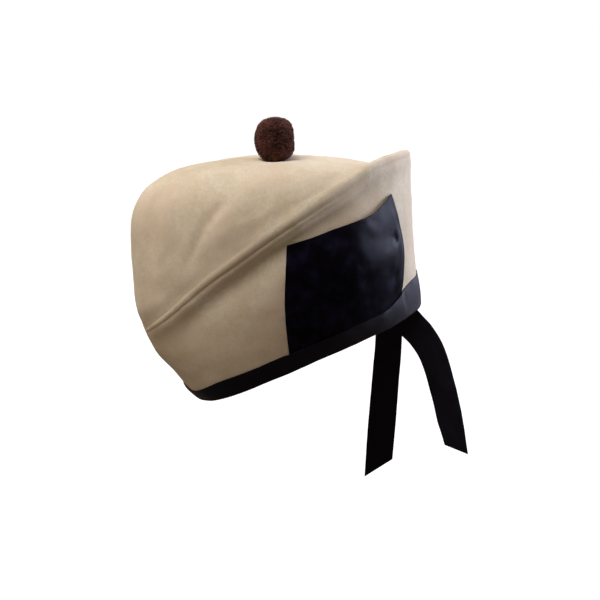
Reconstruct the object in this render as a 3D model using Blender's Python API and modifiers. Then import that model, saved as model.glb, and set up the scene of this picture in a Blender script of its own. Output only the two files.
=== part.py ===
"""A glengarry: a boat-shaped cap of thick-milled wool with a puffed crown, a rim
bound in ribbon, a pleated ribbon cockade on its left side, a wool toorie on top
and two ribbon tails behind.

Metres, +Z up, the front towards -Y and the wearer's left towards +X. The origin
is the middle of the head opening. The cap is modelled level and hangs on an
empty that dips its front as it is worn, so that the tails fall plumb.
"""

import math
from bisect import bisect
from typing import NamedTuple

import bmesh
import bpy
from mathutils import Matrix, Vector

# Driving dimensions, in metres. The cap is soft cloth, so its outline is in the
# tables below: each row is a level of the side, a step of the crown or a fold.
FRONT_DIP = math.radians(18)
CLOTH_THICKNESS = 0.0020
RIBBON_THICKNESS = 0.0010
SEWN_GAP = 0.0003
WIDEST_Y = 0.008
RIM_ARCH = 0.009
SEAM_STAND = 0.0022
BUTTON_Y = 0.022
CROWN_LEAN = 0.10
SIDE_PROFILE_POWER_FRONT = 2
SIDE_PROFILE_POWER_BACK = 4
BINDING_HEIGHT = 0.0150
BINDING_INSIDE_HEIGHT = 0.0120
BINDING_BACK_HEIGHT = 0.0265
BINDING_OPENS_AT = math.radians(112)
BINDING_OPEN_AT = math.radians(130)
RIBBON_WIDTH = 0.0280
TOORIE_RADIUS = 0.0180
TOORIE_HEIGHT = 0.0400
TOORIE_MIDDLE = Vector((0, 0.0275, 0.1880))
TOORIE_LEAN = math.radians(6)
TOORIE_TAPER = 0.10
TOORIE_CORE_SHARE = 0.86
LOCK_COUNT = 60
LOCK_LENGTH = 0.0054
LOCK_RADIUS = 0.0054
LOCK_TIP_RADIUS = 0.0026
TURNS_AROUND = 48
SIDE_ROWS = 7
PLACE_STEPS = 12
HALF_BOX = Vector((0.20, 0.40, 0.40))


class Level(NamedTuple):
    """One level of the side: its plan outline at a share of the side's height.
    A point under 1 is a blunt end, and one over 1 is a pinched end."""

    share: float
    half_width: float
    front_y: float
    back_y: float
    front_point: float
    back_point: float


SIDE_LEVELS = [
    Level(0.00, 0.0675, -0.1160, 0.1165, 0.66, 0.95),
    Level(0.30, 0.0710, -0.1235, 0.1250, 0.75, 1.10),
    Level(0.65, 0.0700, -0.1310, 0.1375, 0.90, 1.25),
    Level(0.90, 0.0640, -0.1330, 0.1465, 0.95, 1.35),
    Level(1.00, 0.0610, -0.1330, 0.1475, 0.95, 1.40),
]


class SeamPoint(NamedTuple):
    """The seam between side and crown, by its turn from the front fold. The
    right side has slumped behind, and the left one stands in a peak."""

    turn_deg: float
    left_height: float
    right_height: float


SEAM = [
    SeamPoint(0, 0.0700, 0.0700),
    SeamPoint(30, 0.0885, 0.0885),
    SeamPoint(60, 0.1160, 0.1145),
    SeamPoint(90, 0.1370, 0.1290),
    SeamPoint(120, 0.1410, 0.1230),
    SeamPoint(150, 0.1380, 0.1200),
    SeamPoint(180, 0.1295, 0.1295),
]


class Ridge(NamedTuple):
    """The height of the crown's top along the cap."""

    y: float
    height: float


CROWN_RIDGE = [
    Ridge(-0.135, 0.174),
    Ridge(-0.110, 0.181),
    Ridge(-0.085, 0.186),
    Ridge(-0.055, 0.187),
    Ridge(-0.015, 0.180),
    Ridge(0.022, 0.170),
    Ridge(0.050, 0.160),
    Ridge(0.070, 0.152),
    Ridge(0.090, 0.143),
    Ridge(0.108, 0.135),
    Ridge(0.125, 0.126),
    Ridge(0.147, 0.129),
]


class CrownStep(NamedTuple):
    """A step of the crown's profile from the seam, 0, to the button, 1: how far
    in it has come, and how far up towards the crown's top, as shares."""

    along: float
    inward: float
    upward: float


CROWN_AT_FRONT = [
    CrownStep(0.00, 0.000, 0.000),
    CrownStep(0.08, -0.012, 0.170),
    CrownStep(0.20, 0.040, 0.440),
    CrownStep(0.32, 0.100, 0.720),
    CrownStep(0.42, 0.163, 0.890),
    CrownStep(0.52, 0.280, 0.985),
    CrownStep(0.66, 0.500, 1.000),
    CrownStep(0.84, 0.780, 1.000),
    CrownStep(1.00, 1.000, 1.000),
]
CROWN_AT_SIDE = [
    CrownStep(0.00, 0.000, 0.000),
    CrownStep(0.08, -0.110, 0.050),
    CrownStep(0.20, -0.130, 0.300),
    CrownStep(0.32, -0.040, 0.580),
    CrownStep(0.42, 0.110, 0.770),
    CrownStep(0.52, 0.290, 0.900),
    CrownStep(0.66, 0.550, 0.980),
    CrownStep(0.84, 0.820, 1.000),
    CrownStep(1.00, 1.000, 1.000),
]
CROWN_AT_BACK = [
    CrownStep(0.00, 0.000, 0.000),
    CrownStep(0.08, 0.065, 0.000),
    CrownStep(0.20, 0.150, 0.400),
    CrownStep(0.32, 0.250, 0.850),
    CrownStep(0.42, 0.340, 1.000),
    CrownStep(0.52, 0.450, 1.000),
    CrownStep(0.66, 0.620, 1.000),
    CrownStep(0.84, 0.830, 1.000),
    CrownStep(1.00, 1.000, 1.000),
]
CROWN_RINGS = (0, 0.03, 0.08, 0.14, 0.20, 0.26, 0.33, 0.41, 0.50, 0.60, 0.71, 0.83, 0.93, 1.0)


class Fold(NamedTuple):
    """A fold of the crown between two places in plan. Its cloth sinks by depth
    along the fold, and rises beside it where depth is negative."""

    start_x: float
    start_y: float
    end_x: float
    end_y: float
    depth: float
    width: float


CROWN_FOLDS = [
    Fold(0.048, -0.045, 0.054, -0.092, 0.0040, 0.008),
    Fold(0.030, 0.002, 0.048, -0.045, 0.0015, 0.008),
    Fold(0.062, -0.040, 0.066, -0.070, -0.0020, 0.010),
    Fold(0.014, -0.090, 0.030, -0.124, 0.0025, 0.008),
    Fold(0.000, 0.018, 0.000, 0.026, 0.0046, 0.015),
]
FOLD_CENTRE = Vector((0, 0, 0.085))
FOLDS_START_AT = 0.12


class Pleat(NamedTuple):
    """A fold line of the cockade, from the binding up to the cockade's head."""

    foot_y: float
    head_y: float
    head_height: float
    bow: float
    lift: float


COCKADE_PLEATS = [
    Pleat(-0.0385, -0.0105, 0.1145, 0.000, 0.0006),
    Pleat(-0.0180, 0.0110, 0.1110, 0.000, 0.0022),
    Pleat(0.0050, 0.0320, 0.1105, 0.000, 0.0010),
    Pleat(0.0280, 0.0520, 0.1095, 0.001, 0.0026),
    Pleat(0.0480, 0.0720, 0.1090, 0.003, 0.0008),
    Pleat(0.0650, 0.0880, 0.1110, 0.006, 0.0036),
    Pleat(0.0800, 0.1010, 0.1145, 0.009, 0.0008),
]
COCKADE_CLEARANCE = 0.0015
PLEAT_END_SHARE = 0.6
COCKADE_COLUMNS = 24
COCKADE_ROWS = 8


class TailStation(NamedTuple):
    """A station of a tail at a share of its way down: the middle of the ribbon,
    as the cap is worn, and the way of its width, turned from the left towards
    the back and tipped up."""

    share: float
    x: float
    y: float
    z: float
    turn_deg: float
    tip_deg: float


RIGHT_TAIL = [
    TailStation(0.00, -0.0290, 0.0960, 0.0440, 37, 0),
    TailStation(0.10, -0.0290, 0.0965, 0.0280, 37, 0),
    TailStation(0.28, -0.0290, 0.0995, -0.0050, 40, 0),
    TailStation(0.55, -0.0295, 0.0965, -0.0600, 46, 0),
    TailStation(0.80, -0.0300, 0.0935, -0.1050, 51, 0),
    TailStation(1.00, -0.0300, 0.0910, -0.1445, 55, 0),
]
RIGHT_TAIL_SLANT = -0.021
LEFT_TAIL = [
    TailStation(0.00, -0.0180, 0.1010, 0.0400, 40, 40),
    TailStation(0.10, -0.0130, 0.1010, 0.0220, 65, 44),
    TailStation(0.20, -0.0090, 0.1125, 0.0068, 80, 42),
    TailStation(0.30, -0.0080, 0.1245, -0.0060, 88, 38),
    TailStation(0.45, -0.0070, 0.1370, -0.0265, 90, 27),
    TailStation(0.65, -0.0060, 0.1493, -0.0635, 90, 18),
    TailStation(0.85, -0.0050, 0.1590, -0.1010, 90, 14),
    TailStation(1.00, -0.0040, 0.1650, -0.1266, 90, 13),
]
LEFT_TAIL_SLANT = 0.020
TAIL_ROWS = 24
TAIL_COLUMNS = 4
SLANT_STARTS_AT = 0.8
BELOW_RIM = 0.0040
RIGHT_TAIL_DEPTH = CLOTH_THICKNESS + RIBBON_THICKNESS * 1.5 + SEWN_GAP * 4
LEFT_TAIL_DEPTH = RIGHT_TAIL_DEPTH + RIBBON_THICKNESS + SEWN_GAP


def row_at(rows, place):
    """The row at a place between a table's rows, on a smooth curve through them."""
    places = [row[0] for row in rows]
    place = min(max(place, places[0]), places[-1])
    i = min(max(bisect(places, place) - 1, 0), len(rows) - 2)
    near = [rows[max(i - 1, 0)], rows[i], rows[i + 1], rows[min(i + 2, len(rows) - 1)]]
    span = near[2][0] - near[1][0]
    t = (place - near[1][0]) / span
    values = []
    for before, start, end, after in zip(*near):
        slope_in = (end - before) / (near[2][0] - near[0][0]) * span
        slope_out = (after - start) / (near[3][0] - near[1][0]) * span
        values.append(
            start * (2 * t**3 - 3 * t**2 + 1)
            + slope_in * (t**3 - 2 * t**2 + t)
            + end * (3 * t**2 - 2 * t**3)
            + slope_out * (t**3 - t**2)
        )
    return type(rows[0])(*values)


def rim_height(turn):
    """The rim's height: it arches up over the ears."""
    return RIM_ARCH * math.sin(turn) ** 2


def seam_height(turn):
    seam = row_at(SEAM, math.degrees(abs(turn)))
    return seam.left_height if turn > 0 else seam.right_height


def side_point(turn, share):
    """A point of the side's outer face. Turn runs from the front fold, 0, to the
    back fold, pi, on the left side, and is negative on the right side."""
    level = row_at(SIDE_LEVELS, share)
    if abs(turn) < math.pi / 2:
        reach = WIDEST_Y - level.front_y
    else:
        reach = level.back_y - WIDEST_Y
    towards_back = (1 - math.cos(turn)) / 2
    point = level.front_point + (level.back_point - level.front_point) * towards_back
    width = abs(math.sin(turn)) ** point * level.half_width
    way = math.sin(turn)
    low = rim_height(turn)
    return Vector(
        (
            math.copysign(width, way),
            WIDEST_Y - reach * math.cos(turn),
            low + (seam_height(turn) - low) * share,
        )
    )


def side_place(y, height):
    """The turn and share of the left side's point at a y and a height, which
    each step brings nearer."""
    share = 0.5
    for _ in range(PLACE_STEPS):
        level = row_at(SIDE_LEVELS, share)
        reach = WIDEST_Y - level.front_y if y < WIDEST_Y else level.back_y - WIDEST_Y
        turn = math.acos(min(max((WIDEST_Y - y) / reach, -1), 1))
        low = rim_height(turn)
        share = (height - low) / (seam_height(turn) - low)
    return turn, share


def outward_at(turn, share):
    """The level direction out of the cap's side."""
    step = math.pi / TURNS_AROUND
    along = side_point(turn + step, share) - side_point(turn - step, share)
    return Vector((along.y, -along.x, 0)).normalized()


def crown_step(turn, along):
    """The crown's profile at a turn, mixed from the front, side and back ones."""
    if abs(turn) < math.pi / 2:
        end = row_at(CROWN_AT_FRONT, along)
        side_share = math.sin(turn) ** SIDE_PROFILE_POWER_FRONT
    else:
        end = row_at(CROWN_AT_BACK, along)
        side_share = math.sin(turn) ** SIDE_PROFILE_POWER_BACK
    side = row_at(CROWN_AT_SIDE, along)
    inward = end.inward + (side.inward - end.inward) * side_share
    upward = end.upward + (side.upward - end.upward) * side_share
    return inward, upward


def fold_sink(x, y):
    """How far the folds sink the crown at a place in plan."""
    sink = 0.0
    for fold in CROWN_FOLDS:
        run_x = fold.end_x - fold.start_x
        run_y = fold.end_y - fold.start_y
        share = ((x - fold.start_x) * run_x + (y - fold.start_y) * run_y) / (run_x**2 + run_y**2)
        share = min(max(share, 0), 1)
        away = math.hypot(x - fold.start_x - run_x * share, y - fold.start_y - run_y * share)
        sink += fold.depth * math.exp(-((away / fold.width) ** 2))
    return sink


def crown_point(turn, along):
    """A point of the crown's outer face, from the seam, 0, to the button, 1."""
    seam = side_point(turn, 1.0)
    inward, upward = crown_step(turn, along)
    x = seam.x * (1 - inward)
    y = seam.y + (BUTTON_Y - seam.y) * inward
    top = row_at(CROWN_RIDGE, y).height - CROWN_LEAN * x
    point = Vector((x, y, seam.z + (top - seam.z) * upward))
    sinking = (FOLD_CENTRE - point).normalized()
    clear_of_seam = min(along / FOLDS_START_AT, 1)
    return point + sinking * fold_sink(point.x, point.y) * clear_of_seam


# The objects are made below, from the surfaces above.


def add_object(name, mesh, collection, parent=None):
    mesh.validate()
    obj = bpy.data.objects.new(name, mesh)
    obj.parent = parent
    collection.objects.link(obj)
    return obj


def loft(name, rows, closed=False):
    """A sheet through rows of points. Its faces point to the left of the way from
    row to row as the points run forward, and points that meet are made one."""
    bm = bmesh.new()
    grid = [[bm.verts.new(point) for point in row] for row in rows]
    for lower, upper in zip(grid, grid[1:]):
        for i in range(len(lower) if closed else len(lower) - 1):
            after = (i + 1) % len(lower)
            bm.faces.new((lower[i], lower[after], upper[after], upper[i]))
    bmesh.ops.remove_doubles(bm, verts=bm.verts, dist=1e-6)
    mesh = bpy.data.meshes.new(name)
    bm.to_mesh(mesh)
    bm.free()
    mesh.shade_smooth()
    return mesh


def thicken(obj, thickness, offset, even=True):
    """Gives a sheet its thickness: inwards at offset -1, outwards at 1. Without
    even, the soft cloth is a little thinner in its tight bends."""
    solid = obj.modifiers.new("thickness", "SOLIDIFY")
    solid.thickness = thickness
    solid.offset = offset
    solid.use_even_offset = even
    solid.use_quality_normals = True


def combine(obj, cutter, operation):
    """Cuts or joins the object with a helper object, which a render leaves out."""
    cutter.hide_render = True
    cutter.display_type = "WIRE"
    boolean = obj.modifiers.new(cutter.name, "BOOLEAN")
    boolean.operation = operation
    boolean.object = cutter
    return boolean


def material(name, colour, roughness):
    """A Principled material of an sRGB colour, which is turned to linear."""
    made = bpy.data.materials.new(name)
    made.use_nodes = True
    shader = made.node_tree.nodes["Principled BSDF"]
    linear = [c / 12.92 if c <= 0.04045 else ((c + 0.055) / 1.055) ** 2.4 for c in colour]
    shader.inputs["Base Color"].default_value = (*linear, 1)
    shader.inputs["Roughness"].default_value = roughness
    shader.inputs["Metallic"].default_value = 0.0
    return made


def turns_around():
    """The turns of the points round the cap, from the back fold and round to it."""
    return [math.tau * i / TURNS_AROUND - math.pi for i in range(TURNS_AROUND)]


def make_crown(collection, cap):
    """The crown: one shell that stands on the side's edge at the seam and closes
    at the button under the toorie."""
    edge = Vector((0, 0, SEWN_GAP * 2))
    stand = Vector((0, 0, SEWN_GAP * 2 + SEAM_STAND))
    rows = [[crown_point(turn, 0) + edge for turn in turns_around()]]
    rows += [[crown_point(turn, along) + stand for turn in turns_around()] for along in CROWN_RINGS]
    crown = add_object("crown", loft("crown", rows, closed=True), collection, cap)
    thicken(crown, CLOTH_THICKNESS, -1, even=False)
    return crown


def make_sides(collection, cutters, cap):
    """The two sides: one shell all round, parted along the front and back folds."""
    shares = [i / SIDE_ROWS for i in range(SIDE_ROWS + 1)]
    rows = [[side_point(turn, share) for turn in turns_around()] for share in shares]
    mesh = loft("side", rows, closed=True)
    sides = []
    for name, way in (("side_left", 1), ("side_right", -1)):
        side = add_object(name, mesh, collection, cap)
        thicken(side, CLOTH_THICKNESS, -1)
        bpy.ops.mesh.primitive_cube_add(size=1)
        half = bpy.context.object
        half.name = name + "_half"
        half.scale = HALF_BOX
        half.location = (way * (HALF_BOX.x + SEWN_GAP) / 2, 0, HALF_BOX.z / 4)
        half.parent = cap
        for holder in half.users_collection:
            holder.objects.unlink(half)
        cutters.objects.link(half)
        combine(side, half, "INTERSECT")
        sides.append(side)
    return sides


def binding_height(turn):
    """How high the binding stands outside: it opens out to its whole width behind."""
    share = (abs(turn) - BINDING_OPENS_AT) / (BINDING_OPEN_AT - BINDING_OPENS_AT)
    share = min(max(share, 0), 1)
    opening = share * share * (3 - 2 * share)
    return BINDING_HEIGHT + (BINDING_BACK_HEIGHT - BINDING_HEIGHT) * opening


def beside_side(turn, above_rim, outward):
    """A point beside the side's outer face, at a height above the rim."""
    share = above_rim / (seam_height(turn) - rim_height(turn))
    return side_point(turn, share) + outward_at(turn, share) * outward


def make_binding(collection, cap):
    """The binding: a ribbon folded over the rim, in a U of even thickness."""
    outside = SEWN_GAP
    inside = -CLOTH_THICKNESS - 2 * SEWN_GAP
    under_rim = Vector((0, 0, -SEWN_GAP))
    rows = []
    for share in (1, 0.5, 0.08):
        height = BINDING_INSIDE_HEIGHT * share
        rows.append([beside_side(turn, height, inside) for turn in turns_around()])
    for outward in (inside, outside):
        rows.append([beside_side(turn, 0, outward) + under_rim for turn in turns_around()])
    for share in (0.06, 0.33, 0.66, 1):
        rows.append(
            [beside_side(turn, binding_height(turn) * share, outside) for turn in turns_around()]
        )
    binding = add_object("binding", loft("binding", rows, closed=True), collection, cap)
    thicken(binding, RIBBON_THICKNESS, 1)
    return binding


class CockadeRow(NamedTuple):
    """A pleat with its place from the cockade's front edge, 0, to its back edge."""

    column: float
    foot_y: float
    head_y: float
    head_height: float
    bow: float
    lift: float


def cockade_point(column, row):
    """A point of the cockade's back face. Column runs from its front edge, 0, to
    its back edge, 1, and row from the binding, 0, to its head, 1."""
    last = len(COCKADE_PLEATS) - 1
    table = [CockadeRow(i / last, *pleat) for i, pleat in enumerate(COCKADE_PLEATS)]
    pleat = row_at(table, column)
    foot_turn, _ = side_place(pleat.foot_y, BINDING_HEIGHT + RIM_ARCH)
    foot_height = rim_height(foot_turn) + binding_height(foot_turn) + COCKADE_CLEARANCE
    y = pleat.foot_y + (pleat.head_y - pleat.foot_y) * row + pleat.bow * math.sin(math.pi * row)
    height = foot_height + (pleat.head_height - foot_height) * row
    turn, share = side_place(y, height)
    full = PLEAT_END_SHARE + (1 - PLEAT_END_SHARE) * math.sin(math.pi * row)
    standing = pleat.lift * full
    return side_point(turn, share) + outward_at(turn, share) * (SEWN_GAP + standing)


def make_cockade(collection, cap):
    """The cockade: a patch of pleated ribbon sewn to the left side."""
    columns = [i / COCKADE_COLUMNS for i in range(COCKADE_COLUMNS + 1)]
    rows = [
        [cockade_point(column, i / COCKADE_ROWS) for column in columns]
        for i in range(COCKADE_ROWS + 1)
    ]
    cockade = add_object("cockade", loft("cockade", rows), collection, cap)
    thicken(cockade, RIBBON_THICKNESS, 1)
    return cockade


def tucked_inside(point, depth):
    """A tail's point, moved in where it would pass through the rim."""
    to_cap = Matrix.Rotation(-FRONT_DIP, 3, "X")
    level = to_cap @ point
    bearing = math.atan2(level.x, WIDEST_Y - level.y)
    turn = bearing
    for _ in range(PLACE_STEPS):
        low = rim_height(turn)
        share = max((level.z - low) / (seam_height(turn) - low), 0)
        edge = side_point(turn, share)
        turn += bearing - math.atan2(edge.x, WIDEST_Y - edge.y)
    if level.z < low - BELOW_RIM:
        return point
    outward = outward_at(turn, share)
    beyond = (level - side_point(turn, share)).dot(outward) + depth
    if beyond > 0:
        level -= outward * beyond
    return to_cap.transposed() @ level


def make_tail(name, stations, slant, depth, collection):
    """A tail: a ribbon tucked inside the rim, which ends in a slanting cut."""
    rows = []
    for i in range(TAIL_ROWS + 1):
        station = row_at(stations, i / TAIL_ROWS)
        turn = math.radians(station.turn_deg)
        tip = math.radians(station.tip_deg)
        level = Vector((math.cos(turn), math.sin(turn), 0))
        across = level * math.cos(tip) + Vector((0, 0, math.sin(tip)))
        middle = Vector((station.x, station.y, station.z))
        slanting = max(0, (station.share - SLANT_STARTS_AT) / (1 - SLANT_STARTS_AT))
        row = []
        for column in range(TAIL_COLUMNS + 1):
            width = column / TAIL_COLUMNS - 0.5
            drop = Vector((0, 0, -slant * width * slanting))
            row.append(tucked_inside(middle + across * RIBBON_WIDTH * width + drop, depth))
        rows.append(row)
    tail = add_object(name, loft(name, rows), collection)
    thicken(tail, RIBBON_THICKNESS, 0)
    return tail


def toorie_object(name, bm, collection, cap):
    """An object of the toorie from a round mesh, drawn out into its egg."""
    for vertex in bm.verts:
        narrowing = 1 + TOORIE_TAPER * vertex.co.z / TOORIE_RADIUS
        vertex.co.x *= narrowing
        vertex.co.y *= narrowing
        vertex.co.z *= TOORIE_HEIGHT / (2 * TOORIE_RADIUS)
    mesh = bpy.data.meshes.new(name)
    bm.to_mesh(mesh)
    bm.free()
    obj = add_object(name, mesh, collection, cap)
    obj.location = TOORIE_MIDDLE
    obj.rotation_euler.x = -FRONT_DIP + TOORIE_LEAN
    return obj


def make_toorie(collection, cutters, cap):
    """The toorie: an egg of wool with locks all over it, fused into one solid."""
    egg = bmesh.new()
    bmesh.ops.create_icosphere(egg, subdivisions=2, radius=TOORIE_RADIUS * TOORIE_CORE_SHARE)
    locks = bmesh.new()
    golden_turn = math.pi * (3 - math.sqrt(5))
    for i in range(LOCK_COUNT):
        height = 1 - 2 * (i + 0.5) / LOCK_COUNT
        turn = i * golden_turn
        level = math.sqrt(1 - height**2)
        way = Vector((level * math.cos(turn), level * math.sin(turn), height))
        stand = Matrix.Translation(way * (TOORIE_RADIUS - LOCK_LENGTH / 2))
        bmesh.ops.create_cone(
            locks,
            cap_ends=True,
            segments=6,
            radius1=LOCK_RADIUS,
            radius2=LOCK_TIP_RADIUS,
            depth=LOCK_LENGTH,
            matrix=stand @ way.to_track_quat("Z", "Y").to_matrix().to_4x4(),
        )
    toorie = toorie_object("toorie", egg, collection, cap)
    lock_object = toorie_object("toorie_locks", locks, cutters, cap)
    combine(toorie, lock_object, "UNION").use_self = True
    return toorie


def main():
    for obj in list(bpy.data.objects):
        bpy.data.objects.remove(obj)
    parts = bpy.data.collections.new("glengarry")
    cutters = bpy.data.collections.new("glengarry_cutters")
    for collection in (parts, cutters):
        bpy.context.scene.collection.children.link(collection)
    cap = bpy.data.objects.new("cap_as_worn", None)
    cap.rotation_euler.x = FRONT_DIP
    parts.objects.link(cap)

    wool = material("milled_wool", (0.80, 0.73, 0.58), 0.95)
    ribbon = material("black_ribbon", (0.03, 0.025, 0.03), 0.55)
    toorie_wool = material("toorie_wool", (0.27, 0.14, 0.13), 0.95)
    woollen = [make_crown(parts, cap), *make_sides(parts, cutters, cap)]
    ribboned = [
        make_binding(parts, cap),
        make_cockade(parts, cap),
        make_tail("tail_left", LEFT_TAIL, LEFT_TAIL_SLANT, LEFT_TAIL_DEPTH, parts),
        make_tail("tail_right", RIGHT_TAIL, RIGHT_TAIL_SLANT, RIGHT_TAIL_DEPTH, parts),
    ]
    tufted = [make_toorie(parts, cutters, cap)]
    for group, finish in ((woollen, wool), (ribboned, ribbon), (tufted, toorie_wool)):
        for obj in group:
            obj.data.materials.clear()
            obj.data.materials.append(finish)


if __name__ == "__main__":
    main()
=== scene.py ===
"""A glengarry as worn: a boat-shaped cap of thick-milled wool with a puffed crown, a
ribbon-bound rim, a pleated ribbon cockade, a wool toorie and two ribbon tails.

The pieces follow the surfaces of the cap's own solids to within a few millimetres.
Lengths are in metres, with the front towards -Y, the wearer's left towards +X and +Z
up. The cap's shape is worked out level and then dipped at the front, as it is worn.
"""

import math
import random
from bisect import bisect
from typing import NamedTuple

import bmesh
import bpy
from mathutils import Matrix, Vector, noise


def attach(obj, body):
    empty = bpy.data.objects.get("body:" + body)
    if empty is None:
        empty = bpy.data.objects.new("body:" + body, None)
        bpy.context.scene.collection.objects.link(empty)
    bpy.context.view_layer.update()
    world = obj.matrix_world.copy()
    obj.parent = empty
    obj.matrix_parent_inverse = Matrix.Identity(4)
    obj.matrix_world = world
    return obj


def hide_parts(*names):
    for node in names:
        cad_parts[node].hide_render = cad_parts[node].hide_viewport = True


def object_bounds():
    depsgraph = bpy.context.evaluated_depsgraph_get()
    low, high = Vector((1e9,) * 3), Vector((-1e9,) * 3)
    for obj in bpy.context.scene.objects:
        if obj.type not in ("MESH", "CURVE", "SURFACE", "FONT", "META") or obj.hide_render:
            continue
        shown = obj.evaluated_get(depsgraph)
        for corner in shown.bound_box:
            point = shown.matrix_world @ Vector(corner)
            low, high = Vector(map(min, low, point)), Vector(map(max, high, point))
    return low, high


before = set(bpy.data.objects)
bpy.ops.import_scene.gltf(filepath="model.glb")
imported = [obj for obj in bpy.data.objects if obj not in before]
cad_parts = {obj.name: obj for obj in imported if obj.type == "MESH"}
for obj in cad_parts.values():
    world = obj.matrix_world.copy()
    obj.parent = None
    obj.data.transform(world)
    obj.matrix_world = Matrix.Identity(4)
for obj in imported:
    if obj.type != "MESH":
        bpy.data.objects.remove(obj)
CAD_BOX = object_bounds()

# The photograph's view. The head opening's middle falls on this pixel of it.
PHOTO_PIXELS = 600
ORIGIN_PIXEL = (306, 343.5)
METRES_PER_PIXEL = 0.00092
CAMERA_DISTANCE = 1.0
CAMERA_AZIMUTH = math.radians(68)
CAMERA_ELEVATION = math.radians(12)
SENSOR_MM = 36

# The cap's sizes, in metres. They are its solids' own, but for what follows the
# photograph a few millimetres further: the front of the rim, the seam, the crown's
# edge and the opened binding.
FRONT_DIP = math.radians(18)
CLOTH_THICKNESS = 0.0020
RIBBON_THICKNESS = 0.0008
SEWN_GAP = 0.0003
WIDEST_Y = 0.008
RIM_ARCH = 0.009
SEAM_STAND = 0.0020
BUTTON_Y = 0.022
CROWN_LEAN = 0.10
SIDE_PROFILE_POWER_FRONT = 1.6
SIDE_PROFILE_POWER_BACK = 4
BINDING_HEIGHT = 0.0150
BINDING_INSIDE_HEIGHT = 0.0120
BINDING_BACK_HEIGHT = 0.0280
BINDING_OPENS_AT = math.radians(112)
BINDING_OPEN_AT = math.radians(145)
RIBBON_WIDTH = 0.0280
TOORIE_RADIUS = 0.0180
TOORIE_HEIGHT = 0.0400
TOORIE_MIDDLE = Vector((0, 0.0287, 0.1870))
TOORIE_LEAN = math.radians(1)
TOORIE_TAPER = 0.10

# How finely the pieces are made.
OUTWARD_STEP = math.pi / 48
CROWN_COLUMNS = 264
CROWN_ROWS = 84
SIDE_COLUMNS = 132
SIDE_ROWS = 52
BINDING_COLUMNS = 288
PLACE_STEPS = 12
SAME_PLACE = 1e-6


class Level(NamedTuple):
    """One level of the side: its plan outline at a share of the side's height.
    A point under 1 is a blunt end, and one over 1 is a pinched end."""

    share: float
    half_width: float
    front_y: float
    back_y: float
    front_point: float
    back_point: float


SIDE_LEVELS = [
    Level(0.00, 0.0675, -0.1135, 0.1165, 0.66, 0.95),
    Level(0.30, 0.0710, -0.1215, 0.1250, 0.75, 1.10),
    Level(0.65, 0.0700, -0.1310, 0.1375, 0.90, 1.25),
    Level(0.90, 0.0640, -0.1330, 0.1465, 0.95, 1.35),
    Level(1.00, 0.0610, -0.1330, 0.1475, 0.95, 1.40),
]


class SeamPoint(NamedTuple):
    """The seam between side and crown, by its turn from the front fold."""

    turn_deg: float
    left_height: float
    right_height: float


SEAM = [
    SeamPoint(0, 0.0700, 0.0700),
    SeamPoint(30, 0.0865, 0.0865),
    SeamPoint(60, 0.1130, 0.1120),
    SeamPoint(90, 0.1350, 0.1270),
    SeamPoint(120, 0.1450, 0.1230),
    SeamPoint(135, 0.1440, 0.1205),
    SeamPoint(150, 0.1390, 0.1200),
    SeamPoint(170, 0.1330, 0.1262),
    SeamPoint(180, 0.1270, 0.1270),
]


class Ridge(NamedTuple):
    """The height of the crown's top along the cap."""

    y: float
    height: float


CROWN_RIDGE = [
    Ridge(-0.135, 0.174),
    Ridge(-0.110, 0.181),
    Ridge(-0.085, 0.186),
    Ridge(-0.055, 0.187),
    Ridge(-0.015, 0.180),
    Ridge(0.022, 0.170),
    Ridge(0.050, 0.160),
    Ridge(0.070, 0.152),
    Ridge(0.090, 0.143),
    Ridge(0.108, 0.135),
    Ridge(0.125, 0.126),
    Ridge(0.147, 0.129),
]


class CrownStep(NamedTuple):
    """A step of the crown's profile from the seam, 0, to the button, 1: how far
    in it has come, and how far up towards the crown's top, as shares."""

    along: float
    inward: float
    upward: float


CROWN_AT_FRONT = [
    CrownStep(0.00, -0.004, 0.000),
    CrownStep(0.08, -0.005, 0.170),
    CrownStep(0.20, 0.040, 0.440),
    CrownStep(0.32, 0.100, 0.720),
    CrownStep(0.42, 0.163, 0.890),
    CrownStep(0.52, 0.280, 0.985),
    CrownStep(0.66, 0.500, 1.000),
    CrownStep(0.84, 0.780, 1.000),
    CrownStep(1.00, 1.000, 1.000),
]
CROWN_AT_SIDE = [
    CrownStep(0.00, -0.112, 0.000),
    CrownStep(0.03, -0.096, 0.032),
    CrownStep(0.09, -0.073, 0.120),
    CrownStep(0.20, -0.028, 0.335),
    CrownStep(0.32, 0.055, 0.580),
    CrownStep(0.42, 0.165, 0.750),
    CrownStep(0.52, 0.320, 0.870),
    CrownStep(0.66, 0.550, 0.965),
    CrownStep(0.84, 0.815, 1.000),
    CrownStep(1.00, 1.000, 1.000),
]
CROWN_AT_BACK = [
    CrownStep(0.00, -0.022, 0.000),
    CrownStep(0.08, 0.065, 0.000),
    CrownStep(0.20, 0.150, 0.400),
    CrownStep(0.32, 0.250, 0.850),
    CrownStep(0.42, 0.340, 1.000),
    CrownStep(0.52, 0.450, 1.000),
    CrownStep(0.66, 0.620, 1.000),
    CrownStep(0.84, 0.830, 1.000),
    CrownStep(1.00, 1.000, 1.000),
]


class Fold(NamedTuple):
    """A fold of the crown between two places in plan. Its cloth sinks by depth
    along the fold, or rises where depth is negative."""

    start_x: float
    start_y: float
    end_x: float
    end_y: float
    depth: float
    width: float


CROWN_FOLDS = [
    Fold(0.030, 0.002, 0.048, -0.045, 0.0015, 0.008),
    Fold(0.062, -0.040, 0.066, -0.070, -0.0020, 0.010),
    Fold(0.014, -0.090, 0.030, -0.124, 0.0018, 0.008),
]


class Crease(NamedTuple):
    """A crease of the crown's cloth between two places of its surface, each by its
    turn in degrees and its share of the way from the seam to the button. The cloth
    sinks by depth along it, or rises where depth is negative."""

    start_turn: float
    start_along: float
    end_turn: float
    end_along: float
    depth: float
    width: float


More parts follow.
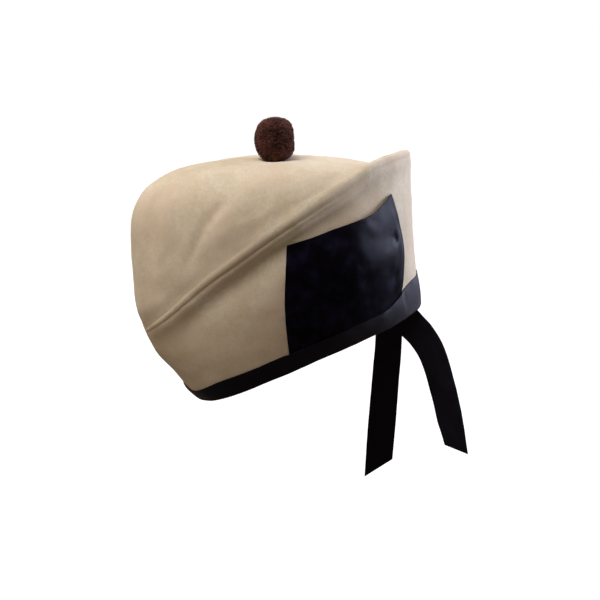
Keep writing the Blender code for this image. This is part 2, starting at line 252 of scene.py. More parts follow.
CROWN_CREASES = [
    Crease(66, 0.36, 57, 0.27, 0.0013, 0.0042),
    Crease(58, 0.29, 47, 0.14, 0.0018, 0.0042),
    Crease(71, 0.33, 60, 0.15, -0.0011, 0.0080),
    Crease(18, 0.46, 27, 0.18, 0.0014, 0.0065),
    Crease(34, 0.48, 38, 0.26, -0.0012, 0.0100),
    Crease(84, 0.42, 76, 0.20, 0.0012, 0.0070),
    Crease(112, 0.30, 104, 0.12, 0.0010, 0.0060),
    Crease(-52, 0.38, -44, 0.16, 0.0034, 0.0055),
    Crease(-76, 0.40, -68, 0.20, 0.0018, 0.0070),
    Crease(-22, 0.44, -26, 0.20, 0.0020, 0.0065),
    Crease(-104, 0.34, -98, 0.14, 0.0014, 0.0060),
]

# A crease is measured on the crown's cloth: metres for each degree of turn, and from
# the seam up to the button.
DEGREE_OF_TURN = 0.0014
CROWN_FALL = 0.11

# Folds and creases sink towards a centre in the cap, fade out a little beyond their
# ends, and start clear of the seam.
FADES_BEYOND = 0.125
DIMPLE_DEPTH = 0.0036
DIMPLE_WIDTH = 0.014
FOLD_CENTRE = Vector((0, 0, 0.085))
FOLDS_START_AT = 0.12


class Pleat(NamedTuple):
    """A line of the cockade from the binding up to its head: where it starts and
    ends, how far it bows to the back, and how high it stands off the wool."""

    column: float
    foot_y: float
    head_y: float
    head_height: float
    bow: float
    lift: float


COCKADE_PLEATS = [
    Pleat(0, -0.0375, -0.0095, 0.1130, -0.005, 0.0006),
    Pleat(1, -0.0180, 0.0110, 0.1110, -0.003, 0.0014),
    Pleat(2, 0.0050, 0.0320, 0.1105, -0.001, 0.0024),
    Pleat(3, 0.0280, 0.0520, 0.1090, 0.001, 0.0036),
    Pleat(4, 0.0480, 0.0720, 0.1080, 0.003, 0.0042),
    Pleat(5, 0.0650, 0.0880, 0.1110, 0.006, 0.0028),
    Pleat(6, 0.0800, 0.1010, 0.1145, 0.009, 0.0008),
]

# The cockade's foot lies flat in the binding, and its pleats stand less at both ends.
COCKADE_TUCK = 0.0022
COCKADE_FOOT_LIES = 0.06
PLEAT_END_SHARE = 0.6
COCKADE_COLUMNS = 180
COCKADE_ROWS = 64


class KnifeFold(NamedTuple):
    """A fold of the cockade that faces the back: where its edge runs at its foot
    and its head, in columns, how high it stands and how far it takes to rise."""

    foot: float
    head: float
    height: float
    run: float


KNIFE_FOLDS = [
    KnifeFold(1.25, 1.05, 0.00020, 1.0),
    KnifeFold(2.95, 2.75, 0.00012, 1.5),
    KnifeFold(5.55, 5.45, 0.00070, 0.7),
]
KNIFE_EDGE = 0.20


class Crumple(NamedTuple):
    """A dent, or a swell where depth is negative, in the cockade's ribbon."""

    column: float
    row: float
    columns_wide: float
    rows_high: float
    depth: float


CRUMPLES = [
    Crumple(5.30, 0.62, 0.20, 0.050, 0.0020),
    Crumple(4.95, 0.50, 0.30, 0.140, -0.0008),
    Crumple(5.65, 0.48, 0.14, 0.220, -0.0010),
    Crumple(5.10, 0.28, 0.22, 0.140, 0.0010),
    Crumple(3.30, 0.52, 0.50, 0.060, -0.0003),
    Crumple(3.40, 0.43, 0.50, 0.050, 0.0004),
    Crumple(0.55, 0.86, 0.50, 0.060, -0.0008),
    Crumple(1.80, 0.40, 0.35, 0.150, 0.0006),
]


class TailStation(NamedTuple):
    """A station of a tail at a share of its way down: the middle of the ribbon,
    as the cap is worn, and the way of its width, turned from the left towards
    the back and tipped up."""

    share: float
    x: float
    y: float
    z: float
    turn_deg: float
    tip_deg: float


RIGHT_TAIL = [
    TailStation(0.00, -0.0290, 0.0960, 0.0440, 37, 0),
    TailStation(0.10, -0.0290, 0.0965, 0.0280, 37, 0),
    TailStation(0.28, -0.0290, 0.0995, -0.0050, 40, 0),
    TailStation(0.55, -0.0295, 0.0965, -0.0600, 46, 0),
    TailStation(0.80, -0.0300, 0.0935, -0.1050, 51, 0),
    TailStation(1.00, -0.0300, 0.0910, -0.1445, 55, 0),
]
RIGHT_TAIL_SLANT = -0.021
LEFT_TAIL = [
    TailStation(0.00, -0.0180, 0.1010, 0.0400, 40, 40),
    TailStation(0.10, -0.0130, 0.1010, 0.0220, 65, 44),
    TailStation(0.20, -0.0090, 0.1125, 0.0068, 80, 42),
    TailStation(0.30, -0.0080, 0.1245, -0.0060, 88, 38),
    TailStation(0.45, -0.0070, 0.1370, -0.0265, 90, 27),
    TailStation(0.65, -0.0060, 0.1493, -0.0635, 90, 18),
    TailStation(0.85, -0.0050, 0.1590, -0.1010, 90, 14),
    TailStation(1.00, -0.0040, 0.1650, -0.1266, 90, 13),
]
LEFT_TAIL_SLANT = 0.020
TAIL_ROWS = 96
TAIL_COLUMNS = 12
SLANT_STARTS_AT = 0.8
BELOW_RIM = 0.0040

# A tail starts inside the rim, deeper than the wool and the binding, and the left
# tail lies deeper than the right one. Both clear ribbon as thick as the solids' is.
SOLID_RIBBON = 0.0010
RIGHT_TAIL_DEPTH = CLOTH_THICKNESS + SOLID_RIBBON * 1.5 + SEWN_GAP * 4
LEFT_TAIL_DEPTH = RIGHT_TAIL_DEPTH + SOLID_RIBBON + SEWN_GAP


def row_at(rows, place):
    """The row at a place between a table's rows, on a smooth curve through them."""
    places = [row[0] for row in rows]
    place = min(max(place, places[0]), places[-1])
    i = min(max(bisect(places, place) - 1, 0), len(rows) - 2)
    near = [rows[max(i - 1, 0)], rows[i], rows[i + 1], rows[min(i + 2, len(rows) - 1)]]
    span = near[2][0] - near[1][0]
    t = (place - near[1][0]) / span
    values = []
    for before, start, end, after in zip(*near):
        slope_in = (end - before) / (near[2][0] - near[0][0]) * span
        slope_out = (after - start) / (near[3][0] - near[1][0]) * span
        values.append(
            start * (2 * t**3 - 3 * t**2 + 1)
            + slope_in * (t**3 - 2 * t**2 + t)
            + end * (3 * t**2 - 2 * t**3)
            + slope_out * (t**3 - t**2)
        )
    return type(rows[0])(*values)


def rim_height(turn):
    """The rim's height: it arches up over the ears."""
    return RIM_ARCH * math.sin(turn) ** 2


def seam_height(turn):
    seam = row_at(SEAM, math.degrees(abs(turn)))
    return seam.left_height if turn > 0 else seam.right_height


def side_point(turn, share):
    """A point of the side's outer face. Turn runs from the front fold, 0, to the
    back fold, pi, on the left side, and is negative on the right side."""
    level = row_at(SIDE_LEVELS, share)
    if abs(turn) < math.pi / 2:
        reach = WIDEST_Y - level.front_y
    else:
        reach = level.back_y - WIDEST_Y
    towards_back = (1 - math.cos(turn)) / 2
    point = level.front_point + (level.back_point - level.front_point) * towards_back
    width = abs(math.sin(turn)) ** point * level.half_width
    low = rim_height(turn)
    return Vector(
        (
            math.copysign(width, math.sin(turn)),
            WIDEST_Y - reach * math.cos(turn),
            low + (seam_height(turn) - low) * share,
        )
    )


def side_place(y, height):
    """The turn and share of the left side's point at a y and a height, which
    each step brings nearer."""
    share = 0.5
    for _ in range(PLACE_STEPS):
        level = row_at(SIDE_LEVELS, share)
        reach = WIDEST_Y - level.front_y if y < WIDEST_Y else level.back_y - WIDEST_Y
        turn = math.acos(min(max((WIDEST_Y - y) / reach, -1), 1))
        low = rim_height(turn)
        share = (height - low) / (seam_height(turn) - low)
    return turn, share


def outward_at(turn, share):
    """The level direction out of the cap's side."""
    along = side_point(turn + OUTWARD_STEP, share) - side_point(turn - OUTWARD_STEP, share)
    return Vector((along.y, -along.x, 0)).normalized()


def crown_step(turn, along):
    """The crown's profile at a turn, mixed from the front, side and back ones."""
    if abs(turn) < math.pi / 2:
        end = row_at(CROWN_AT_FRONT, along)
        side_share = abs(math.sin(turn)) ** SIDE_PROFILE_POWER_FRONT
    else:
        end = row_at(CROWN_AT_BACK, along)
        side_share = math.sin(turn) ** SIDE_PROFILE_POWER_BACK
    side = row_at(CROWN_AT_SIDE, along)
    inward = end.inward + (side.inward - end.inward) * side_share
    upward = end.upward + (side.upward - end.upward) * side_share
    return inward, upward


def fold_sink(x, y):
    """How far the folds, and the dimple under the toorie, sink the crown at a
    place in plan. Each fold fades out at its ends."""
    sink = DIMPLE_DEPTH * math.exp(-((x / DIMPLE_WIDTH) ** 2) - ((y - BUTTON_Y) / DIMPLE_WIDTH) ** 2)
    for fold in CROWN_FOLDS:
        run_x = fold.end_x - fold.start_x
        run_y = fold.end_y - fold.start_y
        share = ((x - fold.start_x) * run_x + (y - fold.start_y) * run_y) / (run_x**2 + run_y**2)
        away = math.hypot(x - fold.start_x - run_x * share, y - fold.start_y - run_y * share)
        sink += fold.depth * fading(share) * math.exp(-((away / fold.width) ** 2))
    return sink


def fading(share):
    """Fades a fold out at its ends, 0 and 1, and a little beyond them."""
    reached = min(max(share, -FADES_BEYOND), 1 + FADES_BEYOND) + FADES_BEYOND
    return max(math.sin(math.pi * reached / (1 + 2 * FADES_BEYOND)), 0)


def crease_sink(turn, along):
    """How far the creases sink the crown at a turn, in radians, and a share."""
    sink = 0.0
    for crease in CROWN_CREASES:
        run_turn = (crease.end_turn - crease.start_turn) * DEGREE_OF_TURN
        run_along = (crease.end_along - crease.start_along) * CROWN_FALL
        from_turn = (math.degrees(turn) - crease.start_turn) * DEGREE_OF_TURN
        from_along = (along - crease.start_along) * CROWN_FALL
        share = (from_turn * run_turn + from_along * run_along) / (run_turn**2 + run_along**2)
        away = math.hypot(from_turn - run_turn * share, from_along - run_along * share)
        sink += crease.depth * fading(share) * math.exp(-((away / crease.width) ** 2))
    return sink


def crown_point(turn, along):
    """A point of the crown's outer face, from the seam, 0, to the button, 1."""
    seam = side_point(turn, 1.0)
    inward, upward = crown_step(turn, along)
    x = seam.x * (1 - inward)
    y = seam.y + (BUTTON_Y - seam.y) * inward
    top = row_at(CROWN_RIDGE, y).height - CROWN_LEAN * x
    point = Vector((x, y, seam.z + (top - seam.z) * upward))
    sinking = (FOLD_CENTRE - point).normalized()
    clear_of_seam = min(along / FOLDS_START_AT, 1)
    sink = fold_sink(point.x, point.y) + crease_sink(turn, along)
    return point + sinking * sink * clear_of_seam


AS_WORN = Matrix.Rotation(FRONT_DIP, 4, "X")


def turns_between(start, end, count):
    return [start + (end - start) * i / count for i in range(count + 1)]


def lengths_along(points):
    """The distance of each point from the first, along the line through them."""
    total = [0.0]
    for start, end in zip(points, points[1:]):
        total.append(total[-1] + (end - start).length)
    return total


def lengths_down(rows):
    """The distance of each row from the first, along the line through their middles."""
    return lengths_along([row[len(row) // 2] for row in rows])


def add_object(name, data):
    """Puts an object with a mesh, a camera or a light in the scene."""
    obj = bpy.data.objects.new(name, data)
    bpy.context.scene.collection.objects.link(obj)
    return obj


def cloth(name, rows, worn=AS_WORN):
    """A sheet through rows of points, with its threads' places in its UV map, in
    metres: along the rows, and across them. Points that meet are made one."""
    runs = lengths_along(rows[len(rows) // 2])
    falls = lengths_down(rows)
    bm = bmesh.new()
    threads = bm.loops.layers.uv.new("threads")
    grid = [[bm.verts.new(worn @ point) for point in row] for row in rows]
    for j in range(len(rows) - 1):
        for i in range(len(rows[0]) - 1):
            corners = ((j, i), (j, i + 1), (j + 1, i + 1), (j + 1, i))
            face = bm.faces.new([grid[row][column] for row, column in corners])
            for loop, (row, column) in zip(face.loops, corners):
                loop[threads].uv = (runs[column], falls[row])
    bmesh.ops.remove_doubles(bm, verts=bm.verts, dist=SAME_PLACE)
    mesh = bpy.data.meshes.new(name)
    bm.to_mesh(mesh)
    bm.free()
    mesh.shade_smooth()
    return add_object(name, mesh)


def relieve(obj, height_at):
    """Moves each point of a sheet along its normal by a height."""
    mesh = obj.data
    normals = [vertex.normal.copy() for vertex in mesh.vertices]
    for vertex, normal in zip(mesh.vertices, normals):
        vertex.co += normal * height_at(vertex.co)
    mesh.update()


ROUNDED_SHARE = 0.3
ROUNDED_FROM = math.radians(50)


def thicken(obj, thickness, offset):
    """Gives a sheet its thickness, with its cut edges rounded over. Offset is 1 for
    a sheet that is its inner face, -1 for its outer face and 0 for its middle."""
    solid = obj.modifiers.new("thickness", "SOLIDIFY")
    solid.thickness = thickness
    solid.offset = offset
    solid.use_quality_normals = True
    rounding = obj.modifiers.new("rounded edge", "BEVEL")
    rounding.width = thickness * ROUNDED_SHARE
    rounding.segments = 2
    rounding.limit_method = "ANGLE"
    rounding.angle_limit = ROUNDED_FROM


class Swell(NamedTuple):
    """A smooth random unevenness: how far across its swells are, and how high."""

    size: float
    height: float


def unevenness(place, swell):
    return noise.noise(place / swell.size) * swell.height


# Materials


def linear(code):
    """A linear colour from an sRGB hex value."""
    levels = [int(code[i : i + 2], 16) / 255 for i in (1, 3, 5)]
    return (*[c / 12.92 if c <= 0.04045 else ((c + 0.055) / 1.055) ** 2.4 for c in levels], 1)


def add(tree, kind, inputs=None, **settings):
    """Adds a node to a material's tree. Settings are the node's own, and each
    input is a value, or a node and its output, which is then linked."""
    made = tree.nodes.new(kind)
    for name, value in settings.items():
        setattr(made, name, value)
    for name, value in (inputs or {}).items():
        if isinstance(value, tuple) and isinstance(value[0], bpy.types.Node):
            tree.links.new(value[0].outputs[value[1]], made.inputs[name])
        else:
            made.inputs[name].default_value = value
    return made


def new_material(name, surface):
    """A material, its tree and its Principled shader, whose own sockets get the
    values of its surface."""
    made = bpy.data.materials.new(name)
    made.use_nodes = True
    shader = made.node_tree.nodes["Principled BSDF"]
    for socket, value in surface.items():
        shader.inputs[socket].default_value = value
    return made, made.node_tree, shader


def per_metre(size):
    """The scale that makes a texture's repeat this size, in metres."""
    return 1 / size


WOOL_LIGHT = "#E6DCC8"
WOOL_MID = "#DBCEB5"
WOOL_SHADE = "#C9B798"
WOOL_ROSE = "#D8C4AE"
WOOL_SHEEN = "#F2E8CF"
WOOL_DYE_PATCH = 0.045
WOOL_PATCH = 0.017
WOOL_CLUMP = 0.0032
WOOL_FIBRE = 0.0010
FELT_HEIGHT = 0.0006
NAP_HEIGHT = 0.0004


def make_milled_wool():
    """Thick-milled, or fulled, wool: woven, then felted until its weave has closed.
    The eye sees a dead matt, slightly mottled sand cloth with a short nap of
    crossed fibres, which catches the light along its edges. The real fibres are
    about 0.03 mm thick, so they are drawn 1 mm apart to show at all."""
    surface = {
        "Roughness": 0.95,
        "IOR": 1.45,
        "Specular IOR Level": 0.25,
        "Sheen Weight": 0.25,
        "Sheen Roughness": 0.5,
        "Sheen Tint": linear(WOOL_SHEEN),
    }
    wool, tree, shader = new_material("milled_wool_sand", surface)
    place = add(tree, "ShaderNodeTexCoord")
    here = (place, "Object")
    patches = add(
        tree,
        "ShaderNodeTexNoise",
        {"Vector": here, "Scale": per_metre(WOOL_PATCH), "Detail": 4.0, "Roughness": 0.6},
    )
    clumps = add(
        tree,
        "ShaderNodeTexNoise",
        {"Vector": here, "Scale": per_metre(WOOL_CLUMP), "Detail": 3.0, "Distortion": 1.2},
    )
    fibres = add(
        tree,
        "ShaderNodeTexNoise",
        {
            "Vector": here,
            "Scale": per_metre(WOOL_FIBRE),
            "Detail": 4.0,
            "Roughness": 0.7,
            "Distortion": 2.5,
        },
    )
    tones = add(tree, "ShaderNodeValToRGB", {"Fac": (patches, "Fac")})
    tones.color_ramp.elements[0].position = 0.36
    tones.color_ramp.elements[0].color = linear(WOOL_MID)
    tones.color_ramp.elements[1].position = 0.64
    tones.color_ramp.elements[1].color = linear(WOOL_LIGHT)
    clump_share = add(
        tree,
        "ShaderNodeMapRange",
        {"Value": (clumps, "Fac"), "From Min": 0.35, "From Max": 0.7, "To Max": 0.45},
    )
    clumped = add(
        tree,
        "ShaderNodeMixRGB",
        {"Fac": (clump_share, "Result"), "Color1": (tones, "Color"), "Color2": linear(WOOL_SHADE)},
    )
    dye = add(
        tree,
        "ShaderNodeTexNoise",
        {"Vector": here, "Scale": per_metre(WOOL_DYE_PATCH), "Detail": 3.0},
    )
    dye_share = add(
        tree,
        "ShaderNodeMapRange",
        {"Value": (dye, "Fac"), "From Min": 0.4, "From Max": 0.65, "To Max": 0.6},
    )
    dyed = add(
        tree,
        "ShaderNodeMixRGB",
        {"Fac": (dye_share, "Result"), "Color1": (clumped, "Color"), "Color2": linear(WOOL_ROSE)},
    )
    fibre_tone = add(
        tree,
        "ShaderNodeMapRange",
        {"Value": (fibres, "Fac"), "From Min": 0.3, "From Max": 0.7, "To Min": 0.86, "To Max": 1.08},
    )
    fibred = add(
        tree,
        "ShaderNodeMixRGB",
        {"Fac": 1.0, "Color1": (dyed, "Color"), "Color2": (fibre_tone, "Result")},
        blend_type="MULTIPLY",
    )
    felt = add(
        tree,
        "ShaderNodeBump",
        {"Height": (clumps, "Fac"), "Strength": 0.35, "Distance": FELT_HEIGHT},
    )
    nap = add(
        tree,
        "ShaderNodeBump",
        {
            "Height": (fibres, "Fac"),
            "Strength": 0.55,
            "Distance": NAP_HEIGHT,
            "Normal": (felt, "Normal"),
        },
    )
    tree.links.new(fibred.outputs["Color"], shader.inputs["Base Color"])
    tree.links.new(nap.outputs["Normal"], shader.inputs["Normal"])
    return wool


class RibbonDye(NamedTuple):
    """A ribbon's colours, where it is new and where it is worn, and its gloss."""

    name: str
    colour: str
    worn_colour: str
    gloss: float
    gloss_colour: str
    sheen: float
    roughness: float


PETERSHAM = RibbonDye("petersham_black", "#070506", "#0B0A0E", 0.25, "#B0AAD8", 0.03, 0.52)
BLUE_PETERSHAM = RibbonDye("petersham_blue_black", "#08060A", "#161428", 0.05, "#9A94E0", 0.07, 0.42)
RIBBON_SHEEN = "#8A8AD0"
RIBBON_PATCH = 0.012
RIB_SPACING = 0.0009
RIB_HEIGHT = 0.00012
THREAD_SPACING = 0.00035
THREAD_HEIGHT = RIB_HEIGHT / 3
WORN_ROUGHNESS = 0.07

# A wave texture at a scale of 1 turns by this angle, in radians, for each unit.
WAVE_TURN = 20


def make_ribbon(dye):
    """Petersham ribbon: a fine ribbed weave of viscose and cotton. The eye sees a
    near-black band with a low, soft gloss that breaks along the ribs and turns
    blue-grey where it faces the light. The ribs cross the binding and run down the
    cockade and the tails. The threads between them are drawn about twice as coarse
    as real, to show at all."""
    surface = {
        "IOR": 1.53,
        "Specular IOR Level": dye.gloss,
        "Specular Tint": linear(dye.gloss_colour),
        "Sheen Weight": dye.sheen,
        "Sheen Roughness": 0.35,
        "Sheen Tint": linear(RIBBON_SHEEN),
    }
    ribbon, tree, shader = new_material(dye.name, surface)
    threads = add(tree, "ShaderNodeUVMap", uv_map="threads")
    ribs = add(
        tree,
        "ShaderNodeTexWave",
        {"Vector": (threads, "UV"), "Scale": math.tau / RIB_SPACING / WAVE_TURN, "Distortion": 0.15},
        bands_direction="X",
    )
    weave = add(
        tree,
        "ShaderNodeTexWave",
        {"Vector": (threads, "UV"), "Scale": math.tau / THREAD_SPACING / WAVE_TURN},
        bands_direction="Y",
    )
    place = add(tree, "ShaderNodeTexCoord")
    handling = add(
        tree,
        "ShaderNodeTexNoise",
        {"Vector": (place, "Object"), "Scale": per_metre(RIBBON_PATCH), "Detail": 4.0},
    )
    worn_share = add(
        tree,
        "ShaderNodeMapRange",
        {"Value": (handling, "Fac"), "From Min": 0.45, "From Max": 0.75},
    )
    toned = add(
        tree,
        "ShaderNodeMixRGB",
        {
            "Fac": (worn_share, "Result"),
            "Color1": linear(dye.colour),
            "Color2": linear(dye.worn_colour),
        },
    )
    rough = add(
        tree,
        "ShaderNodeMapRange",
        {
            "Value": (handling, "Fac"),
            "From Min": 0.3,
            "From Max": 0.7,
            "To Min": dye.roughness - WORN_ROUGHNESS,
            "To Max": dye.roughness + WORN_ROUGHNESS,
        },
    )
    crossing = add(
        tree,
        "ShaderNodeBump",
        {"Height": (weave, "Fac"), "Strength": 0.25, "Distance": THREAD_HEIGHT},
    )
    ribbed = add(
        tree,
        "ShaderNodeBump",
        {
            "Height": (ribs, "Fac"),
            "Strength": 0.7,
            "Distance": RIB_HEIGHT,
            "Normal": (crossing, "Normal"),
        },
    )
    tree.links.new(toned.outputs["Color"], shader.inputs["Base Color"])
    tree.links.new(rough.outputs["Result"], shader.inputs["Roughness"])
    tree.links.new(ribbed.outputs["Normal"], shader.inputs["Normal"])
    return ribbon


YARN_BROWN = "#54362E"
YARN_MAROON = "#6C403C"
YARN_PLUM = "#38202F"
YARN_OLIVE = "#5C4533"
YARN_SHEEN = "#C09080"
YARN_CLUMP = 0.0090


def make_toorie_yarn():
    """Worsted wool yarn, cut and fluffed into a tuft. The eye sees a matt dark red
    and brown pile, mottled in clumps of about 9 mm, each cut end lighter or darker
    than its neighbour. The core between the ends is darker still, as painted shade
    deep in the pile."""
    surface = {
        "Roughness": 0.9,
        "Specular IOR Level": 0.25,
        "Sheen Weight": 0.3,
        "Sheen Tint": linear(YARN_SHEEN),
    }
    yarn, tree, shader = new_material("toorie_yarn_mottled", surface)
    place = add(tree, "ShaderNodeTexCoord")
    clumps = add(
        tree,
        "ShaderNodeTexNoise",
        {"Vector": (place, "Object"), "Scale": per_metre(YARN_CLUMP), "Detail": 2.0},
    )
    tones = add(tree, "ShaderNodeValToRGB", {"Fac": (clumps, "Fac")})
    ramp = tones.color_ramp
    ramp.elements[0].position = 0.30
    ramp.elements[0].color = linear(YARN_PLUM)
    ramp.elements[1].position = 0.72
    ramp.elements[1].color = linear(YARN_OLIVE)
    ramp.elements.new(0.45).color = linear(YARN_BROWN)
    ramp.elements.new(0.58).color = linear(YARN_MAROON)
    # Each end's own tone lightens or darkens the clumps, and the core's low value darkens it as
    # painted shade.
    ends = add(tree, "ShaderNodeAttribute", attribute_name="yarn_tone")
    end_tone_and_core_shade = add(
        tree,
        "ShaderNodeMapRange",
        {"Value": (ends, "Fac"), "To Min": 0.55, "To Max": 1.5},
    )
    toned = add(
        tree,
        "ShaderNodeMixRGB",
        {"Fac": 1.0, "Color1": (tones, "Color"), "Color2": (end_tone_and_core_shade, "Result")},
        blend_type="MULTIPLY",
    )
    tree.links.new(toned.outputs["Color"], shader.inputs["Base Color"])
    return yarn


PAPER_COLOUR = "#7C7C7B"
PAPER_GLOW_COLOUR = "#FFFFFF"
PAPER_GLOW = 0.97


def make_studio_paper():
    """Matt studio paper, which glows as if lit from behind and looks near white."""
    surface = {
        "Base Color": linear(PAPER_COLOUR),
        "Roughness": 0.9,
        "Specular IOR Level": 0.0,
        "Emission Color": linear(PAPER_GLOW_COLOUR),
        "Emission Strength": PAPER_GLOW,
    }
    paper, _, _ = new_material("studio_paper", surface)
    return paper


def finish_piece(obj, finish, slot, *nodes):
    """Gives a piece its material, seats it on the cap and puts it in place of the
    solids that it stands for."""
    obj.data.materials.clear()
    obj.data.materials.append(finish)
    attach(obj, "root")
    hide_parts(*nodes)
    return obj


# Wool pieces

CROWN_ROWS_TO_SEAM = 1.25
SIDE_ROWS_TO_SEAM = 1.4
WOOL_SWELLS = [Swell(0.034, 0.0011), Swell(0.012, 0.0003)]

# The roll in which the crown turns under at its seam, and how the side's wool
# hollows below it and stands out to meet it.
ROLL_RADIUS = 0.0100
ROLL_RADIUS_AT_FOLDS = 0.0020
ROLL_RISE = 0.0012
ROLL_START = math.radians(28)
ROLL_ANGLES = [math.radians(angle) for angle in range(-74, 28, 8)]
ROLL_MEETS_SIDE_AT = math.radians(-20)
ROLL_ENDS_AT = 0.03
LIP_REACH = 0.0125
LIP_TUCK = 0.00020
HOLLOW_DEPTH = 0.0006
HOLLOW_BELOW = 0.0170
HOLLOW_REACH = 0.0110

# The pull of the crown's stitches, which lie a little unevenly round the cap.
PUCKER_HEIGHT = 0.00010
PUCKER_REACH = 0.005
PUCKERS_AROUND = 110
PUCKER_WANDER = 2
PUCKER_WANDERS = 7

# The seams that join the two sides at the folds in front and behind.
SEAM_ALLOWANCE = 0.0035
FOLD_SEAM_DEPTH = 0.0007
FOLD_SEAM_WIDTH = 0.0016


def wool_swell(place):
    """The soft unevenness of milled wool."""
    return sum(unevenness(place, swell) for swell in WOOL_SWELLS)


def pucker(turn, away):
    """The small pull of each stitch of the crown's seam, which fades away from it."""
    pull = math.cos(turn * PUCKERS_AROUND + PUCKER_WANDER * math.sin(turn * PUCKER_WANDERS))
    return PUCKER_HEIGHT * pull * math.exp(-((away / PUCKER_REACH) ** 2))


def roll_point(turn, angle):
    """A point round the roll in which the crown turns under at its seam. The roll
    is fullest at the sides."""
    crest = crown_point(turn, 0) + Vector((0, 0, ROLL_RISE))
    outward = outward_at(turn, 1)
    inward = outward * (math.cos(angle) - math.cos(ROLL_START))
    down = Vector((0, 0, math.sin(angle) - math.sin(ROLL_START)))
    full = abs(math.sin(turn))
    radius = ROLL_RADIUS_AT_FOLDS + (ROLL_RADIUS - ROLL_RADIUS_AT_FOLDS) * full
    return crest + (inward + down) * radius + outward * pucker(turn, 0)


def make_crown(finish):
    """The puffed crown, which rolls over the top of the sides."""
    turns = turns_between(-math.pi, math.pi, CROWN_COLUMNS)
    rows = [[roll_point(turn, angle) for turn in turns] for angle in ROLL_ANGLES]
    for j in range(CROWN_ROWS + 1):
        along = (j / CROWN_ROWS) ** CROWN_ROWS_TO_SEAM
        clear = min(along / ROLL_ENDS_AT, 1)
        stand = Vector((0, 0, ROLL_RISE + (SEWN_GAP + SEAM_STAND - ROLL_RISE) * clear))
        row = []
        for turn in turns:
            pull = outward_at(turn, 1) * pucker(turn, along * CROWN_FALL)
            row.append(crown_point(turn, along) + stand + pull)
        rows.append(row)
    crown = cloth("crown_wool", rows)
    relieve(crown, wool_swell)
    thicken(crown, CLOTH_THICKNESS, -1)
    return finish_piece(crown, finish, "milled_wool", "crown")


def wool_point(turn, share):
    """A point of a side's wool, without its unevenness. It hollows below the
    crown's roll and stands out to meet it."""
    outward = outward_at(turn, share)
    below_seam = (seam_height(turn) - rim_height(turn)) * (1 - share)
    lip = roll_point(turn, ROLL_MEETS_SIDE_AT) - side_point(turn, 1) - outward * LIP_TUCK
    hollow = math.exp(-(((below_seam - HOLLOW_BELOW) / HOLLOW_REACH) ** 2))
    sunk = HOLLOW_DEPTH * abs(math.sin(turn)) * hollow - pucker(turn, below_seam)
    return side_point(turn, share) + lip * math.exp(-((below_seam / LIP_REACH) ** 2)) - outward * sunk


def make_side(name, node, way, finish):
    """One side, which sinks a little at the seams in front and behind. There each
    row ends in its seam allowance, turned in."""
    turns = turns_between(0, math.pi * way, SIDE_COLUMNS)
    if way < 0:
        turns.reverse()
    rows = []
    for j in range(SIDE_ROWS + 1):
        share = 1 - (1 - j / SIDE_ROWS) ** SIDE_ROWS_TO_SEAM
        row = []
        for turn in turns:
            point = wool_point(turn, share)
            seam = FOLD_SEAM_DEPTH * math.exp(-((point.x / FOLD_SEAM_WIDTH) ** 2))
            row.append(point + outward_at(turn, share) * (wool_swell(AS_WORN @ point) - seam))
        turned_in = [Vector((0, math.cos(turn) * SEAM_ALLOWANCE, 0)) for turn in (turns[0], turns[-1])]
        rows.append([row[0] + turned_in[0], *row, row[-1] + turned_in[1]])
    side = cloth(name, rows)
    thicken(side, CLOTH_THICKNESS, -1)
    return finish_piece(side, finish, "milled_wool", node)


# Ribbon pieces

BINDING_FRONT_HEIGHT = 0.0075
BINDING_EVEN_FROM = math.radians(38)
BINDING_BELLY = 0.0004
BINDING_SWELL = Swell(0.014, 0.0003)

# The binding's rows, as shares of its height inside and outside, closer at its edges,
# and the steps in which it folds round the rim.
INSIDE_SHARES = (1, 0.8, 0.6, 0.4, 0.2, 0.05)
RIM_FOLD_STEPS = 8
OUTSIDE_SHARES = (0.05, 0.12, 0.22, 0.34, 0.46, 0.58, 0.70, 0.80, 0.88, 0.94, 0.98, 1)

# The binding is sewn in along its upper edge, and stands out over the cockade's foot.
STITCH_DEPTH = 0.0002
STITCH_REACH = 0.12
COCKADE_UNDER = 0.0018
COCKADE_UNDER_RAMP = 0.004

COCKADE_SWELL = Swell(0.014, 0.0005)
TAIL_SWELL = Swell(0.020, 0.0009)
TAIL_LOOSE_BELOW = 0.05


def eased(share):
    """A share from 0 to 1 that starts and ends gently."""
    share = min(max(share, 0), 1)
    return share * share * (3 - 2 * share)


def binding_height(turn):
    """How high the binding stands outside: it turns further under in front, and
    opens out to its whole width behind."""
    opening = eased((abs(turn) - BINDING_OPENS_AT) / (BINDING_OPEN_AT - BINDING_OPENS_AT))
    under = 1 - eased(abs(turn) / BINDING_EVEN_FROM)
    height = BINDING_HEIGHT - (BINDING_HEIGHT - BINDING_FRONT_HEIGHT) * under
    return height + (BINDING_BACK_HEIGHT - BINDING_HEIGHT) * opening


def beside_side(turn, above_rim, outward):
    """A point beside the side's wool, at a height above the rim."""
    share = above_rim / (seam_height(turn) - rim_height(turn))
    wool = wool_point(turn, share)
    return wool + outward_at(turn, share) * (outward + wool_swell(AS_WORN @ wool))


def over_cockade(point):
    """How far the binding is pushed out by the cockade's foot, which it covers."""
    into = min(point.y - COCKADE_PLEATS[0].foot_y, COCKADE_PLEATS[-1].foot_y - point.y)
    return COCKADE_UNDER * eased(into / COCKADE_UNDER_RAMP + 1) if point.x > 0 else 0


